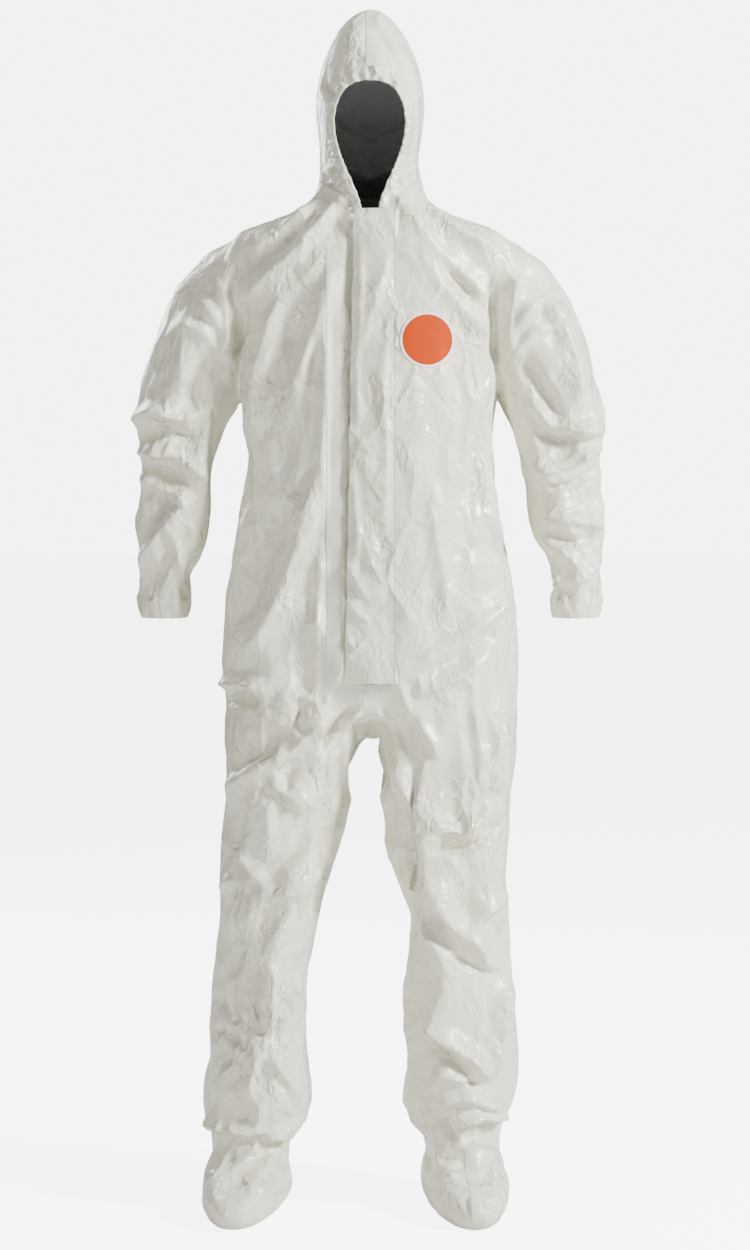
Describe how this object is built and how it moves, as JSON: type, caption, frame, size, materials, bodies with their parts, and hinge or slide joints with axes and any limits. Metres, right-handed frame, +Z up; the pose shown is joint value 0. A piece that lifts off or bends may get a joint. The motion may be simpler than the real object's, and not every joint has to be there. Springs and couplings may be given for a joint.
{
  "type": "chemical protective suit",
  "caption": "Hooded one-piece coverall in crisp white laminate film, with an elastic face opening, a storm flap over the zipper, elastic cuffs and attached socks.",
  "frame": {"origin": "on the floor, midway between the feet, under the middle of the suit", "axes": "+Z up, the front of the suit faces -Y, the wearer's left is +X"},
  "size_m": [0.7562, 0.3553, 1.8774],
  "materials": {
    "white_film": "crisp glossy off-white laminate film with fine creases",
    "seam_tape": "matte warm white heat-sealed tape",
    "elastic": "woven elastic",
    "zipper_tape": "woven polyester tape",
    "zipper_plastic": "moulded nylon",
    "badge_orange": "printed film",
    "badge_border": "printed film",
    "adhesive": "double-sided closure tape"
  },
  "bodies": {
    "torso": {"back": "white_film", "right_front": "white_film", "left_front": "white_film", "placket_seam_tape": "seam_tape", "crotch_seam_tape": "seam_tape", "neck_seam_tape": "seam_tape", "right_armhole_tape": "seam_tape", "left_armhole_tape": "seam_tape", "chest_badge": "badge_orange", "chest_badge_border": "badge_border", "hood_neck": "white_film", "right_shoulder": "white_film", "left_shoulder": "white_film", "right_hip": "white_film", "left_hip": "white_film", "flap_seam": "white_film", "zipper_tape_left": "zipper_tape", "zipper_tape_right": "zipper_tape", "zipper_teeth_left": "zipper_plastic", "zipper_teeth_right": "zipper_plastic", "zipper_top_stops": "zipper_plastic", "zipper_bottom_stop": "zipper_plastic"},
    "hood": {"hood_right_panel": "white_film", "hood_left_panel": "white_film", "hood_seam_tape": "seam_tape", "face_hem": "white_film", "face_elastic": "elastic"},
    "storm_flap": {"storm_flap": "white_film", "flap_adhesive_strip": "adhesive"},
    "zipper_slider": {"zipper_slider": "zipper_plastic"},
    "pull_tab": {"zipper_pull_tab": "zipper_plastic"},
    "right_upper_arm": {"right_upper_sleeve": "white_film", "right_elbow": "white_film"},
    "right_forearm": {"right_lower_sleeve": "white_film", "right_cuff": "white_film", "right_cuff_elastic": "elastic"},
    "right_thigh": {"right_thigh": "white_film", "right_knee": "white_film"},
    "right_lower_leg": {"right_shin": "white_film", "right_sock": "white_film", "right_sock_sole": "white_film", "right_ankle_seam": "seam_tape", "right_sock_seam_tape": "seam_tape"},
    "left_upper_arm": {"left_upper_sleeve": "white_film", "left_elbow": "white_film"},
    "left_forearm": {"left_lower_sleeve": "white_film", "left_cuff": "white_film", "left_cuff_elastic": "elastic"},
    "left_thigh": {"left_thigh": "white_film", "left_knee": "white_film"},
    "left_lower_leg": {"left_shin": "white_film", "left_sock": "white_film", "left_sock_sole": "white_film", "left_ankle_seam": "seam_tape", "left_sock_seam_tape": "seam_tape"}
  },
  "joints": [
    {"name": "hood_tilt", "type": "hinge", "parent": "torso", "child": "hood", "pos_m": [0, 0.045, 1.58], "axis": [1, 0, 0], "range_deg": [-18, 18], "deforming": ["hood_neck"]},
    {"name": "right_shoulder_lift", "type": "hinge", "parent": "torso", "child": "right_upper_arm", "pos_m": [-0.2, 0.045, 1.43], "axis": [0, 1, 0], "range_deg": [0, 60], "deforming": ["right_shoulder"]},
    {"name": "right_elbow_bend", "type": "hinge", "parent": "right_upper_arm", "child": "right_forearm", "pos_m": [-0.309, 0.045, 1.18], "axis": [-1, 0, 0], "range_deg": [0, 70], "deforming": ["right_elbow"]},
    {"name": "right_hip_bend", "type": "hinge", "parent": "torso", "child": "right_thigh", "pos_m": [-0.13, 0.045, 0.8], "axis": [-1, 0, 0], "range_deg": [0, 60], "deforming": ["right_hip"]},
    {"name": "right_knee_bend", "type": "hinge", "parent": "right_thigh", "child": "right_lower_leg", "pos_m": [-0.164, 0.045, 0.47], "axis": [1, 0, 0], "range_deg": [0, 75], "deforming": ["right_knee"]},
    {"name": "left_shoulder_lift", "type": "hinge", "parent": "torso", "child": "left_upper_arm", "pos_m": [0.2, 0.045, 1.43], "axis": [0, -1, 0], "range_deg": [0, 60], "deforming": ["left_shoulder"]},
    {"name": "left_elbow_bend", "type": "hinge", "parent": "left_upper_arm", "child": "left_forearm", "pos_m": [0.309, 0.045, 1.18], "axis": [-1, 0, 0], "range_deg": [0, 70], "deforming": ["left_elbow"]},
    {"name": "left_hip_bend", "type": "hinge", "parent": "torso", "child": "left_thigh", "pos_m": [0.13, 0.045, 0.8], "axis": [-1, 0, 0], "range_deg": [0, 60], "deforming": ["left_hip"]},
    {"name": "left_knee_bend", "type": "hinge", "parent": "left_thigh", "child": "left_lower_leg", "pos_m": [0.143, 0.045, 0.47], "axis": [1, 0, 0], "range_deg": [0, 75], "deforming": ["left_knee"]},
    {"name": "storm_flap_swing", "type": "hinge", "parent": "torso", "child": "storm_flap", "pos_m": [0.038, -0.089, 1.19], "axis": [0, 0, 1], "range_deg": [0, 150]},
    {"name": "zipper_slide", "type": "slide", "parent": "torso", "child": "zipper_slider", "axis": [0, 0, -1], "range_m": [0, 0.66], "deforming": ["zipper_teeth_right", "zipper_teeth_left"]},
    {"name": "pull_tab_swing", "type": "hinge", "parent": "zipper_slider", "child": "pull_tab", "pos_m": [0, -0.0812, 1.54], "axis": [-1, 0, 0], "range_deg": [0, 12]}
  ]
}
